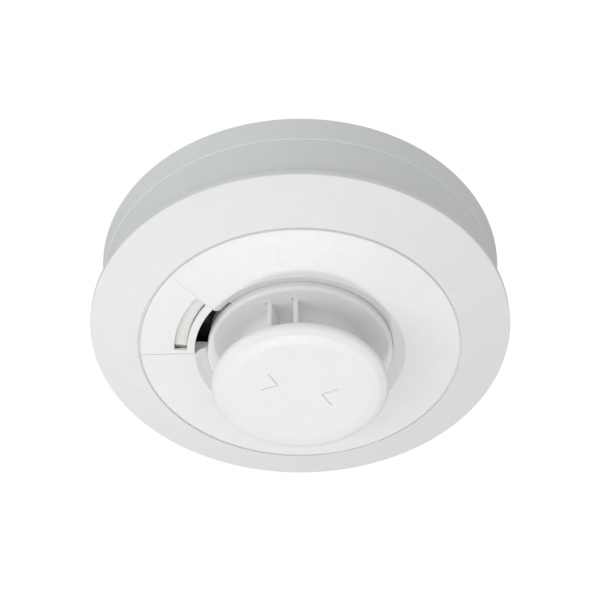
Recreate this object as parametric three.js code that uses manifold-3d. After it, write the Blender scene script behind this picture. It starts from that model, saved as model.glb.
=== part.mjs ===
// A point heat detector for a ceiling: a round mounting base with terminals, and a sensing head that
// twists on to it by three bayonet lugs. A turret in the middle of the head's front carries a neck with
// six ribs and a round deflector cap. Air passes between the ribs and through three windows in the neck
// to a thermistor bead behind the cap.
//
// Millimetres. The origin is the centre of the base's ceiling face and +Z points up into the ceiling, so
// every height below is negative. Angles are degrees about +Z from +X.

import * as THREE from "three";
import { mergeVertices } from "three/addons/utils/BufferGeometryUtils.js";
import Module from "manifold-3d";

const wasm = await Module();
wasm.setup();

// ---- Driving dimensions ----

const FIT = 0.3; // gap between neighbouring pieces
const LAID = 0.1; // gap between pieces that lie flat on one another
const WALL = 2; // moulded wall
const ROUND_STEPS = 48; // facets of the large rings
const SMALL_STEPS = 12; // facets of screws and pins

const LEVEL = {
  ceiling: 0,
  plate: -2.2, // underside of the base plate
  baseRim: -8.3,
  housingTop: -8.7,
  coverTop: -9,
  coverBottom: -11,
  boardTop: -17.5,
  boardBottom: -19.1,
  shroudTop: -23.3,
  shroudBottom: -24.5,
  lipTop: -23.5,
  lipEdge: -25.3,
  face: -30.5, // outer edge of the front disc
  crest: -32.2, // the disc's crest beside the channel round the turret
  channel: -30.5, // bottom of that channel
  ring: -32.5, // the turret's ring
  capBack: -43.5,
  capWidest: -44.9,
  capFace: -46.6,
};

const BASE_R = 57.2; // at the ceiling
const BASE_RIM_R = 56.5;
const HOUSING_R = 56.3;
const FLANGE_R = 58.5; // the widest part of the detector
const GROOVE_R = 44.9; // inner edge of the sloping bezel
const DISC_R = 44.2;
const CREST_R = 29.1; // the front disc slopes out to here, then back into the channel round the turret
const TURRET_R = 25.6;
const NECK_R = 15;
const NECK_BORE_R = 13.2;
const RIB_R = 21.3;
const RIB_WIDTH = 1.3;
const CAP_R = 24.15;
const CAP_FACE_R = 18.7;

const WEDGE = 198.6; // azimuth of the indicator segment's middle
const WEDGE_HALF = { outer: 21, inner: 18.2 };
const WEDGE_R = 29; // inner edge of the indicator segment
const LENS = { inner: 31.3, outer: 34.8, half: 16.6, recess: 1.4 };
const VENT_HALF = 16; // half angle of the dark opening beside the turret

const RIB_PAIRS = [17, 137, 257];
const RIB_SPREAD = 9.8; // each rib's angle from the middle of its pair
const WINDOWS = [77, 197, 317];
const WINDOW = { half: 32, top: -36, bottom: -41.8 };

const TWIST_LUGS = [90, 210, 330];
const LUG_HALF = 9;
const COLLAR_R = 44;
const LUG_R = 46.9;
const LEDGE = { inner: 44.4, outer: 47.3, top: -6 };
const TWIST = 20; // turn that frees the head

const TERMINALS = [45, 135, 225, 315];
const TERMINAL_SCREW_R = 28;
const BLADE = { inner: 34.2, outer: 35, half: 3.6 };
const LEAF = { wall: 0.7, gap: 0.4, half: 6 };

const BOARD_R = 42;
const BOARD_SCREWS = [0, 120, 240];
const BOARD_SCREW_R = 38.2;
const CASE_SCREWS = [30, 150, 270];
const CASE_SCREW_R = 50.3;
const LED_OFFSETS = [-8, 8]; // azimuths from the middle of the segment
const LED_R = 32.7;

// ---- Materials ----

const finish = (color, roughness, metalness = 0) =>
  new THREE.MeshStandardMaterial({ color, roughness, metalness });

const MATERIAL = {
  white: finish(0xe9eae7, 0.42),
  black: finish(0x17181a, 0.6),
  frosted: finish(0xdfe0dc, 0.3),
  brass: finish(0xc8b273, 0.32, 1),
  tinned: finish(0xc9cccf, 0.28, 1),
  zinc: finish(0xb9bdc1, 0.3, 1),
  laminate: finish(0x2f6b47, 0.5),
  package: finish(0x1d1e20, 0.55),
  can: finish(0x2a3c66, 0.4),
  rubber: finish(0x2b2c2d, 0.85),
  epoxy: finish(0x6b4a2c, 0.35),
};

// ---- Solids ----

const radians = THREE.MathUtils.degToRad;

// A closed three.js geometry as a solid, with shared vertices merged and collapsed triangles dropped.
function solid(geometry) {
  const loose = geometry.index ? geometry.toNonIndexed() : geometry;
  const bare = new THREE.BufferGeometry();
  bare.setAttribute("position", loose.getAttribute("position"));
  const merged = mergeVertices(bare, 1e-4);
  const corners = Array.from(merged.index.array);
  const triVerts = [];
  for (let i = 0; i < corners.length; i += 3) {
    const [a, b, c] = corners.slice(i, i + 3);
    if (a !== b && b !== c && c !== a) triVerts.push(a, b, c);
  }
  return new wasm.Manifold(
    new wasm.Mesh({
      numProp: 3,
      vertProperties: merged.attributes.position.array,
      triVerts: new Uint32Array(triVerts),
    }),
  );
}

function geometryOf(body) {
  const mesh = body.getMesh();
  const geometry = new THREE.BufferGeometry();
  geometry.setAttribute("position", new THREE.BufferAttribute(new Float32Array(mesh.vertProperties), 3));
  geometry.setIndex(new THREE.BufferAttribute(new Uint32Array(mesh.triVerts), 1));
  geometry.computeVertexNormals();
  return geometry;
}

const joined = (...bodies) => bodies.flat().reduce((sum, body) => sum.add(body));
const cut = (body, ...tools) => tools.flat().reduce((rest, tool) => rest.subtract(tool), body);

// A closed profile of [radius, height] points turned about +Z.
function turned(profile, steps = ROUND_STEPS) {
  const points = profile.map(([r, z]) => new THREE.Vector2(r, z));
  if (THREE.ShapeUtils.area(points) < 0) points.reverse();
  const closes = points[0].x > 0 || points.at(-1).x > 0;
  if (closes) points.push(points[0].clone());
  return solid(new THREE.LatheGeometry(points, steps).rotateX(Math.PI / 2));
}

const ring = (inner, outer, bottom, top, steps = ROUND_STEPS) =>
  turned([[inner, bottom], [outer, bottom], [outer, top], [inner, top]], steps);

const rod = (radius, bottom, top, steps = SMALL_STEPS) =>
  turned([[0, bottom], [radius, bottom], [radius, top], [0, top]], steps);

// A flat outline raised from one height to another.
const raised = (shape, bottom, top, curveSegments = 12) =>
  new THREE.ExtrudeGeometry(shape, { depth: top - bottom, bevelEnabled: false, curveSegments })
    .translate(0, 0, bottom);

// Part of a ring between two azimuths.
function arc(inner, outer, middle, half, bottom, top, curveSegments = 6) {
  const shape = new THREE.Shape();
  shape.absarc(0, 0, outer, radians(-half), radians(half), false);
  shape.absarc(0, 0, inner, radians(half), radians(-half), true);
  return solid(raised(shape, bottom, top, curveSegments).rotateZ(radians(middle)));
}

const box = (sizeX, sizeY, bottom, top, x = 0, y = 0, azimuth = 0) =>
  solid(
    new THREE.BoxGeometry(sizeX, sizeY, top - bottom)
      .translate(x, y, (top + bottom) / 2)
      .rotateZ(radians(azimuth)),
  );

// A rod that stands at a radius and an azimuth.
function rodAt(radius, azimuth, rodRadius, bottom, top, steps = SMALL_STEPS) {
  const geometry = new THREE.CylinderGeometry(rodRadius, rodRadius, top - bottom, steps)
    .rotateX(Math.PI / 2)
    .translate(radius, 0, (top + bottom) / 2)
    .rotateZ(radians(azimuth));
  return solid(geometry);
}

// A straight slot with round ends, long towards the azimuth.
function slot(radius, azimuth, length, width, bottom, top) {
  const end = width / 2;
  const reach = length / 2 - end;
  const shape = new THREE.Shape();
  shape.absarc(radius + reach, 0, end, -Math.PI / 2, Math.PI / 2, false);
  shape.absarc(radius - reach, 0, end, Math.PI / 2, Math.PI * 1.5, false);
  return solid(raised(shape, bottom, top, 6).rotateZ(radians(azimuth)));
}

// A pan-head screw that points up +Z, its head's underside at height 0, with a straight driver slot.
function screw(headR, headHeight, shankR, shankLength) {
  const body = turned([
    [0, -headHeight],
    [headR * 0.72, -headHeight],
    [headR, -headHeight * 0.5],
    [headR, 0],
    [shankR, 0],
    [shankR, shankLength],
    [0, shankLength],
  ], SMALL_STEPS);
  const driver = box(headR * 3, headR * 0.3, -headHeight - 1, -headHeight * 0.55);
  return cut(body, driver);
}

// ---- Scene graph ----

const detector = new THREE.Group();

function place(name, body, material, parent = detector) {
  const mesh = new THREE.Mesh(geometryOf(body), material);
  mesh.name = name;
  parent.add(mesh);
  return mesh;
}

// A group turned to an azimuth about the detector's axis.
function turnedGroup(azimuth) {
  const group = new THREE.Group();
  group.rotation.z = radians(azimuth);
  detector.add(group);
  return group;
}

// ---- Mounting base ----

// A plate with a skirt, a broken ring with the bayonet ledges, a boss under each terminal, a central
// cable opening and two slots for the ceiling screws.
function mountingBase() {
  const cableR = 14;
  const shell = turned([
    [cableR, LEVEL.ceiling],
    [BASE_R, LEVEL.ceiling],
    [BASE_RIM_R, LEVEL.baseRim],
    [BASE_RIM_R - WALL, LEVEL.baseRim],
    [BASE_R - WALL - 0.2, LEVEL.plate],
    [cableR + 1.6, LEVEL.plate],
    [cableR + 1.6, LEVEL.plate - 1.4],
    [cableR, LEVEL.plate - 1.4],
  ]);
  const lockRing = ring(LEDGE.outer, LEDGE.outer + 1.8, LEVEL.baseRim, LEVEL.plate + 0.5);
  const inner = LEDGE.inner;
  const outer = LEDGE.outer + 0.5;
  const ledges = TWIST_LUGS.map((at) => arc(inner, outer, at, LUG_HALF, LEVEL.baseRim, LEDGE.top));
  const lockStops = TWIST_LUGS.map((at) =>
    arc(inner, outer, at + LUG_HALF + 2, 1.5, LEVEL.baseRim, LEVEL.plate + 0.5, 3));
  const entryStops = TWIST_LUGS.map((at) =>
    arc(inner, outer, at - TWIST - LUG_HALF - 2.5, 1.5, LEVEL.baseRim, LEVEL.plate + 0.5, 3));
  const bosses = TERMINALS.map((at) => box(13.5, 9, LEVEL.plate - 1, LEVEL.plate + 0.5, 30.6, 0, at));
  const screwHoles = TERMINALS.map((at) =>
    rodAt(TERMINAL_SCREW_R, at, 1.8, LEVEL.plate - 2, LEVEL.ceiling - 0.8));
  const ceilingSlots = [0, 180].map((at) => slot(30, at, 11, 4, LEVEL.plate - 1, LEVEL.ceiling + 1));
  return cut(joined(shell, lockRing, ledges, lockStops, entryStops, bosses), screwHoles, ceilingSlots);
}

// The terminal's contact strip: a plate with a spring leaf on each side of the head's contact blade.
function terminalStrip(top) {
  const bottom = top - 0.8;
  const leafBottom = -8;
  const plate = box(12.4, 7.6, bottom, top, 30.8, 0);
  const leaf = (inner) => arc(inner, inner + LEAF.wall, 0, LEAF.half, leafBottom, bottom + 0.2, 4);
  const innerLeaf = leaf(BLADE.inner - LEAF.gap - LEAF.wall);
  const outerLeaf = leaf(BLADE.outer + LEAF.gap);
  const hole = rodAt(TERMINAL_SCREW_R, 0, 1.8, bottom - 1, top + 1);
  return cut(joined(plate, innerLeaf, outerLeaf), hole);
}

// The square plate that clamps the wire under the terminal screw, with one edge turned down.
function clampPlate(top) {
  const side = 7.2;
  const hole = rodAt(TERMINAL_SCREW_R, 0, 1.8, top - 2, top + 1);
  const plate = box(side, side, top - 0.8, top, TERMINAL_SCREW_R, 0);
  const grip = box(0.7, side, top - 1.6, top, TERMINAL_SCREW_R - side / 2 + 0.35, 0);
  return cut(joined(plate, grip), hole);
}

place("mounting_base", mountingBase(), MATERIAL.white);

const stripTop = LEVEL.plate - 1 - LAID;
const clampTop = stripTop - 0.8 - LAID;
const terminalScrew = screw(2.6, 1.7, 1.5, 3.6);
TERMINALS.forEach((azimuth, i) => {
  const terminal = turnedGroup(azimuth);
  place(`terminal_strip_${i + 1}`, terminalStrip(stripTop), MATERIAL.brass, terminal);
  place(`clamp_plate_${i + 1}`, clampPlate(clampTop), MATERIAL.zinc, terminal);
  const fastener = place(`terminal_screw_${i + 1}`, terminalScrew, MATERIAL.zinc, terminal);
  fastener.position.set(TERMINAL_SCREW_R, 0, clampTop - 0.8 - LAID);
  fastener.rotation.z = radians(25 + 40 * i);
});

// ---- Head: rear cover, contacts and housing ----

// The head's back, with the bayonet collar and its three lugs, and the bosses that the circuit board
// hangs from.
function rearCover() {
  const outerR = HOUSING_R - WALL - FIT;
  const collarTop = -3.2;
  const shell = turned([
    [0, LEVEL.coverBottom],
    [outerR, LEVEL.coverBottom],
    [outerR, LEVEL.coverTop],
    [COLLAR_R, LEVEL.coverTop],
    [COLLAR_R, collarTop],
    [COLLAR_R - WALL, collarTop],
    [COLLAR_R - WALL, LEVEL.coverTop],
    [0, LEVEL.coverTop],
  ]);
  const lugBottom = LEDGE.top + 0.4;
  const lugs = TWIST_LUGS.map((at) => arc(COLLAR_R - 0.5, LUG_R, at, LUG_HALF, lugBottom, lugBottom + 2.2));
  const bosses = BOARD_SCREWS.map((at) =>
    rodAt(BOARD_SCREW_R, at, 3, LEVEL.boardTop + LAID, LEVEL.coverBottom + 0.5));
  const pilots = BOARD_SCREWS.map((at) => rodAt(BOARD_SCREW_R, at, 1.35, LEVEL.boardTop - 1, -12.4));
  const bladeSlots = TERMINALS.map((at) =>
    arc(BLADE.inner - FIT, BLADE.outer + FIT, at, BLADE.half + 0.6, LEVEL.coverBottom - 1, LEVEL.coverTop + 1, 4));
  const screwHoles = CASE_SCREWS.map((at) =>
    joined(
      rodAt(CASE_SCREW_R, at, 1.6, LEVEL.coverBottom - 1, LEVEL.coverTop + 1),
      rodAt(CASE_SCREW_R, at, 2.9, LEVEL.coverTop - 1.2, LEVEL.coverTop + 1),
    ));
  return cut(joined(shell, lugs, bosses), pilots, bladeSlots, screwHoles);
}

// A contact blade, from its solder end at the board to its tip between the leaves of a terminal.
const contactBlade = () =>
  arc(BLADE.inner, BLADE.outer, 0, BLADE.half, LEVEL.boardTop + LAID, -4.6, 4);

// The side wall of the head.
const headHousing = () =>
  turned([
    [HOUSING_R - WALL, LEVEL.lipTop + FIT],
    [HOUSING_R - 0.15, LEVEL.lipTop + FIT],
    [HOUSING_R, LEVEL.housingTop - 0.4],
    [HOUSING_R - 0.4, LEVEL.housingTop],
    [HOUSING_R - WALL, LEVEL.housingTop],
  ]);

// The sloping ring round the front. A spigot locates it in the side wall, and three columns take the
// screws that come through the rear cover.
function frontBezel() {
  const spigotR = HOUSING_R - WALL - FIT;
  const shell = turned([
    [FLANGE_R - 0.3, LEVEL.lipTop],
    [FLANGE_R, LEVEL.lipTop - 0.3],
    [FLANGE_R, LEVEL.lipEdge + 0.5],
    [FLANGE_R - 0.35, LEVEL.lipEdge],
    [FLANGE_R - 1.1, LEVEL.lipEdge - 0.42],
    [GROOVE_R + 0.3, LEVEL.face - 0.1],
    [GROOVE_R, LEVEL.face + 0.2],
    [GROOVE_R, LEVEL.face + 3.6],
    [GROOVE_R + 1.6, LEVEL.face + 3.6],
    [GROOVE_R + 1.9, LEVEL.face + 2.6],
    [spigotR - 1.6, LEVEL.lipEdge],
    [spigotR - 1.6, -19.5],
    [spigotR, -19.5],
    [spigotR, LEVEL.lipTop],
  ]);
  const columns = CASE_SCREWS.map((at) =>
    rodAt(CASE_SCREW_R, at, 3, LEVEL.face + 3.2, LEVEL.coverBottom - LAID));
  const pilots = CASE_SCREWS.map((at) => rodAt(CASE_SCREW_R, at, 1.4, -18.5, LEVEL.coverBottom + 1));
  return cut(joined(shell, columns), pilots);
}

place("rear_cover", rearCover(), MATERIAL.white);
TERMINALS.forEach((azimuth, i) => {
  place(`contact_blade_${i + 1}`, contactBlade(), MATERIAL.tinned, turnedGroup(azimuth));
});
place("head_housing", headHousing(), MATERIAL.white);
place("front_bezel", frontBezel(), MATERIAL.white);

const caseScrew = screw(2.5, 1, 1.15, 8);
CASE_SCREWS.forEach((azimuth, i) => {
  const fastener = place(`case_screw_${i + 1}`, caseScrew, MATERIAL.zinc, turnedGroup(azimuth));
  fastener.position.set(CASE_SCREW_R, 0, LEVEL.coverTop - 1.2 + LAID);
  fastener.rotation.x = Math.PI;
});

// ---- Head: circuit board and what it carries ----

function circuitBoard() {
  const board = turned([
    [0, LEVEL.boardBottom],
    [BOARD_R, LEVEL.boardBottom],
    [BOARD_R, LEVEL.boardTop],
    [0, LEVEL.boardTop],
  ], 36);
  const holes = BOARD_SCREWS.map((at) =>
    rodAt(BOARD_SCREW_R, at, 1.6, LEVEL.boardBottom - 1, LEVEL.boardTop + 1));
  return cut(board, holes);
}

place("circuit_board", circuitBoard(), MATERIAL.laminate);

const boardScrew = screw(2.5, 1.5, 1.15, 6);
BOARD_SCREWS.forEach((azimuth, i) => {
  const fastener = place(`board_screw_${i + 1}`, boardScrew, MATERIAL.zinc, turnedGroup(azimuth));
  fastener.position.set(BOARD_SCREW_R, 0, LEVEL.boardBottom - LAID);
  fastener.rotation.z = radians(70 * i);
});

// A chip package with a row of legs on each long side, hung under the board.
function chip(length, width, height, legs) {
  const top = LEVEL.boardBottom - LAID;
  const pitch = length / legs;
  const body = box(length, width, top - height, top - 0.4);
  const leg = (side, i) =>
    box(pitch * 0.4, 1.1, top - height * 0.55, top, (i + 0.5) * pitch - length / 2, side * (width / 2 + 0.35));
  const rows = [-1, 1].flatMap((side) => Array.from({ length: legs }, (_, i) => leg(side, i)));
  return joined(body, rows);
}

place("controller_chip", chip(10, 6.2, 1.9, 5), MATERIAL.package).position.set(13, 19, 0);
place("bridge_rectifier", chip(5, 4.4, 2.6, 2), MATERIAL.package).position.set(-18, 20, 0);
place("voltage_regulator", chip(4.6, 3.4, 1.8, 2), MATERIAL.package).position.set(-4, 27, 0);
place("smoothing_capacitor", rod(3.1, -22.9, LEVEL.boardBottom - LAID, 16), MATERIAL.can)
  .position.set(22, -14, 0);

// A light-emitting diode with a flanged foot and a domed end that faces the light guide.
function diode() {
  const top = LEVEL.boardBottom - LAID;
  return turned([
    [0, top - 4],
    [0.75, top - 3.8],
    [1.3, top - 3.1],
    [1.5, top - 2.4],
    [1.5, top - 0.8],
    [1.9, top - 0.8],
    [1.9, top],
    [0, top],
  ], SMALL_STEPS);
}

const segmentGroup = turnedGroup(WEDGE);
LED_OFFSETS.forEach((offset, i) => {
  const led = place(`indicator_led_${i + 1}`, diode(), MATERIAL.frosted, segmentGroup);
  led.position.set(LED_R * Math.cos(radians(offset)), LED_R * Math.sin(radians(offset)), 0);
});

// ---- Head: inner shroud, front disc and indicator ----

// The dark tray behind the front disc, with holes for the light guide's stalks and the thermistor bush.
function innerShroud() {
  const tray = turned([
    [9, LEVEL.shroudTop],
    [41, LEVEL.shroudTop],
    [41, LEVEL.shroudBottom - 2],
    [39.8, LEVEL.shroudBottom - 2],
    [39.8, LEVEL.shroudBottom],
    [9, LEVEL.shroudBottom],
  ], 36);
  const holes = LED_OFFSETS.map((offset) =>
    rodAt(LED_R, WEDGE + offset, 2.1, LEVEL.shroudBottom - 1, LEVEL.shroudTop + 1));
  return cut(tray, holes);
}

// Outline of the indicator segment from above, drawn about +X and shrunk by a gap on each side.
function wedgeOutline(gap, innerR, outerR) {
  const corner = (r, side) => {
    const share = (r - WEDGE_R) / (DISC_R - WEDGE_R);
    const half = radians(WEDGE_HALF.inner + (WEDGE_HALF.outer - WEDGE_HALF.inner) * share);
    return [r * Math.cos(half), side * (r * Math.sin(half) - gap)];
  };
  const outline = [corner(innerR, -1), corner(outerR, -1), corner(outerR, 1), corner(innerR, 1)];
  return new THREE.Shape(outline.map(([x, y]) => new THREE.Vector2(x, y)));
}

// Height of the disc's front, which slopes from its outer edge out to the crest.
const frontAt = (r) =>
  LEVEL.face + (LEVEL.crest - LEVEL.face) * (DISC_R - 0.2 - r) / (DISC_R - 0.2 - CREST_R);

// The sloping front with its crest and the channel beside the turret, a flange behind the bezel that
// keeps it in, and openings for the indicator segment and for the dark vent beside the turret.
function frontDisc() {
  const thick = WALL - 0.2;
  const channelR = TURRET_R + FIT;
  const shell = turned([
    [DISC_R - 0.2, LEVEL.face],
    [CREST_R, LEVEL.crest],
    [CREST_R - 0.3, LEVEL.crest + 0.1],
    [channelR + 0.4, LEVEL.channel],
    [channelR, LEVEL.channel + 0.1],
    [channelR, LEVEL.channel + thick],
    [CREST_R, LEVEL.channel + thick],
    [DISC_R - WALL, LEVEL.face + thick],
    [DISC_R - WALL, LEVEL.face + 5.2],
    [GROOVE_R + 1.8, LEVEL.face + 5.2],
    [GROOVE_R + 1.8, LEVEL.face + 3.9],
    [DISC_R, LEVEL.face + 3.9],
    [DISC_R, LEVEL.face + 0.2],
  ]);
  const below = LEVEL.crest - 1;
  const above = LEVEL.face + 3.2;
  const seat = solid(
    raised(wedgeOutline(0, WEDGE_R - FIT, DISC_R + 2), below, above).rotateZ(radians(WEDGE)),
  );
  const vent = arc(TURRET_R - 1, WEDGE_R, WEDGE, VENT_HALF, below, above);
  return cut(shell, seat, vent);
}

// The separate segment in the disc: a sloping panel with a slot along an arc for the light guide.
function indicatorSegment() {
  const top = LEVEL.face + WALL - 0.2;
  const outline = solid(
    raised(wedgeOutline(FIT, WEDGE_R - 2, DISC_R + 2), LEVEL.crest - 1, top).rotateZ(radians(WEDGE)),
  );
  const inner = WEDGE_R + 0.1;
  const panel = turned([
    [inner, top],
    [inner, frontAt(inner)],
    [DISC_R, LEVEL.face],
    [DISC_R, top],
  ]);
  const opening = arc(LENS.inner, LENS.outer, WEDGE, LENS.half, LEVEL.crest - 1, top + 1);
  return cut(outline.intersect(panel), opening);
}

// The light guide: an arc that fills the slot behind a shallow recess, a flange on each side behind the
// panel, and a stalk that reaches up to each diode.
function indicatorLens() {
  const bottom = frontAt((LENS.inner + LENS.outer) / 2) + LENS.recess;
  const top = LEVEL.face + WALL + 0.9;
  const body = arc(LENS.inner + FIT, LENS.outer - FIT, WEDGE, LENS.half - 0.6, bottom, top);
  const flange = arc(LENS.inner - 1, LENS.outer + 1, WEDGE, LENS.half - 0.6, LEVEL.face + WALL, top);
  const stalks = LED_OFFSETS.map((offset) => rodAt(LED_R, WEDGE + offset, 1.7, top - 0.5, -23.5));
  return joined(body, flange, stalks);
}

place("inner_shroud", innerShroud(), MATERIAL.black);
place("front_disc", frontDisc(), MATERIAL.white);
place("indicator_segment", indicatorSegment(), MATERIAL.white);
place("indicator_lens", indicatorLens(), MATERIAL.frosted);

// ---- Head: turret, thermistor and cap ----

// The turret: a rounded ring round a coved underside, and a neck with six ribs and three windows.
function sensorTurret() {
  const floorTop = -29.2;
  const floorBottom = -31;
  const holderR = 3.2;
  const shell = turned([
    [TURRET_R - 1.8, LEVEL.shroudBottom - 0.2],
    [TURRET_R, LEVEL.shroudBottom - 0.2],
    [TURRET_R, LEVEL.ring + 1],
    [TURRET_R - 0.3, LEVEL.ring + 0.3],
    [TURRET_R - 1, LEVEL.ring],
    [19, LEVEL.ring + 0.2],
    [17, LEVEL.ring - 0.3],
    [15.6, LEVEL.ring - 1.4],
    [NECK_R, LEVEL.ring - 3.2],
    [NECK_R, LEVEL.capBack + LAID],
    [NECK_BORE_R, LEVEL.capBack + LAID],
    [NECK_BORE_R, floorBottom],
    [holderR, floorBottom],
    [holderR, floorTop],
    [TURRET_R - 1.8, floorTop],
  ]);
  const ribAngles = RIB_PAIRS.flatMap((at) => [at - RIB_SPREAD, at + RIB_SPREAD]);
  const ribInner = NECK_R - 0.6;
  const ribMiddle = (ribInner + RIB_R) / 2;
  const ribs = ribAngles.map((at) =>
    box(RIB_R - ribInner, RIB_WIDTH, LEVEL.capBack + LAID, LEVEL.ring + 0.8, ribMiddle, 0, at));
  const windows = WINDOWS.map((at) =>
    arc(NECK_BORE_R - 1, NECK_R + 1, at, WINDOW.half, WINDOW.bottom, WINDOW.top, 8));
  return joined(cut(shell, windows), ribs);
}

// The rubber bush in the turret's floor that the thermistor's leads come through.
function thermistorBush() {
  const bush = turned([
    [0, -33.2],
    [2.3, -33.2],
    [2.85, -32.4],
    [2.85, -29.1],
    [4.8, -29.1],
    [4.8, -27.6],
    [2.85, -27.6],
    [2.85, -26],
    [0, -26],
  ], SMALL_STEPS);
  const leadHoles = [-1, 1].map((side) => box(0.9, 0.9, -34, -25, side * 0.8, 0));
  return cut(bush, leadHoles);
}

// One lead, from the board down through the bush and in towards the bead.
function thermistorLead(side) {
  const route = new THREE.CatmullRomCurve3([
    new THREE.Vector3(side * 0.8, 0, LEVEL.boardBottom - LAID),
    new THREE.Vector3(side * 0.8, 0, -24),
    new THREE.Vector3(side * 0.8, 0, -29),
    new THREE.Vector3(side * 0.8, 0, -34),
    new THREE.Vector3(side * 0.72, 0, -36.1),
  ]);
  const section = new THREE.Shape().absarc(0, 0, 0.22, 0, Math.PI * 2, false);
  return solid(new THREE.ExtrudeGeometry(section, { steps: 8, curveSegments: 4, extrudePath: route }));
}

// The epoxy-dipped bead, a drop with its round end towards the cap.
const thermistorBead = () =>
  turned([
    [0, -39.4],
    [0.9, -39.1],
    [1.4, -38.3],
    [1.5, -37.6],
    [1.25, -36.7],
    [1.1, -36.2],
    [0, -36.2],
  ], SMALL_STEPS);

// The round cap that covers the neck. It has a low spigot for the neck's bore, a rounded rim and a flat
// face with two shallow chevrons that point at one another.
function deflectorCap() {
  const spigotTop = LEVEL.capBack + 1.2;
  const spigotR = NECK_BORE_R - FIT;
  const shell = turned([
    [0, LEVEL.capFace],
    [CAP_FACE_R, LEVEL.capFace],
    [CAP_FACE_R + 1.8, LEVEL.capFace + 0.2],
    [CAP_FACE_R + 3.6, LEVEL.capFace + 0.6],
    [CAP_R - 0.8, LEVEL.capFace + 1.1],
    [CAP_R - 0.15, LEVEL.capFace + 1.7],
    [CAP_R, LEVEL.capWidest],
    [CAP_R - 0.1, LEVEL.capBack - 0.7],
    [CAP_R - 0.5, LEVEL.capBack - 0.2],
    [CAP_R - 1.2, LEVEL.capBack],
    [spigotR, LEVEL.capBack],
    [spigotR, spigotTop],
    [0, spigotTop],
  ]);
  const apexR = 6.3;
  const arm = { length: 4.8, width: 0.6, depth: 0.3, angle: 40 };
  const strokes = [197, 17].flatMap((at) =>
    [-1, 1].map((side) =>
      solid(
        new THREE.BoxGeometry(arm.length, arm.width, 1)
          .translate(arm.length / 2, 0, LEVEL.capFace + arm.depth - 0.5)
          .rotateZ(radians(side * arm.angle))
          .translate(apexR, 0, 0)
          .rotateZ(radians(at))
          .translate(0, -1.2, 0),
      )));
  return cut(shell, strokes);
}

place("sensor_turret", sensorTurret(), MATERIAL.white);
place("thermistor_bush", thermistorBush(), MATERIAL.rubber);
[-1, 1].forEach((side, i) => place(`thermistor_lead_${i + 1}`, thermistorLead(side), MATERIAL.tinned));
place("thermistor_bead", thermistorBead(), MATERIAL.epoxy);
place("deflector_cap", deflectorCap(), MATERIAL.white);

export default detector;
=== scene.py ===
# %% [markdown]
# # A ceiling heat detector in Blender
# A heat detector is mostly turned plastic: a base, a head with a sloping bezel, a front disc that slopes
# to a low crest, and a ribbed turret that ends in a round cap. The frame below brings in the
# engineering model, one object for each piece, in metres, with +Z up into the ceiling. This lesson
# builds the fine outer surfaces round it, gives every piece its finish, and lights the result.

import bmesh
import bpy
import numpy as np
from mathutils import Matrix, Vector


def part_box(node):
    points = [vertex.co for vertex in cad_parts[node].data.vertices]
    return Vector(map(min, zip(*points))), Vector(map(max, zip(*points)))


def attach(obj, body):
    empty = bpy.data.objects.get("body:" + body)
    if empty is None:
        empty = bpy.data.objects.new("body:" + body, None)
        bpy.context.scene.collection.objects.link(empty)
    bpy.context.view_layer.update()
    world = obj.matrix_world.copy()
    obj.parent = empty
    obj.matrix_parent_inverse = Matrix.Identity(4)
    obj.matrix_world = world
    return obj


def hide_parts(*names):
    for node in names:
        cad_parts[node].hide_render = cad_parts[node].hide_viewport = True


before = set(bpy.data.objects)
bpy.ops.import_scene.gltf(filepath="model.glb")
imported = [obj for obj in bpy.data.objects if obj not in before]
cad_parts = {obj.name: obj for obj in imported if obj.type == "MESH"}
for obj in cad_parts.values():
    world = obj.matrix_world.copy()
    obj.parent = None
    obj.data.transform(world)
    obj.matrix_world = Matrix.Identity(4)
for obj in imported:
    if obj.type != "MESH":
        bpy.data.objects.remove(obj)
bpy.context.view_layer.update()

# %% [markdown]
# ## Sizes
# The shapes are worked out in millimetres, which suits a hand-sized moulding, and turned into metres
# when a mesh is made. The main sizes are read from the frame, so the surfaces follow the engineering
# model; the others are named here or in the cell that uses them. The fillet of an edge is the third
# number of its corner in an outline.

# %% Main sizes, in millimetres
MM = 0.001


def low(node):
    """The lowest corner of a frame node, in millimetres."""
    return np.array(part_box(node)[0]) / MM


def high(node):
    """The highest corner of a frame node, in millimetres."""
    return np.array(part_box(node)[1]) / MM


BASE_R = high("mounting_base")[0]
BASE_RIM_R = 56.5  # the base at the parting line
BASE_RIM_Z = low("mounting_base")[2]
HOUSING_R = high("head_housing")[0]
HOUSING_LOW_Z = low("head_housing")[2]
FLANGE_R = high("front_bezel")[0]
LIP_TOP_Z = HOUSING_LOW_Z - 0.3
LIP_EDGE_Z = -25.3
GROOVE_R = 44.9
DISC_R = 44.2
CREST_R = 29.1
CREST_Z = low("front_disc")[2]
FACE_Z = CREST_Z + 1.7  # the disc's face at its outer edge
CHANNEL_R = 26.3
CHANNEL_Z = FACE_Z  # the bottom of the channel round the turret
RING_Z = CREST_Z - 0.3  # the turret's underside
TURRET_R = high("sensor_turret")[0]
NECK_R = 15.0
NECK_BORE_R = 13.2
NECK_LOW_Z = low("sensor_turret")[2]
RIB_R = 21.3
RIB_WIDTH = 1.3
CAP_R = high("deflector_cap")[0]
CAP_Z = low("deflector_cap")[2]
CAP_BACK_Z = NECK_LOW_Z - 0.1
WALL = 1.8  # the usual wall thickness

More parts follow.
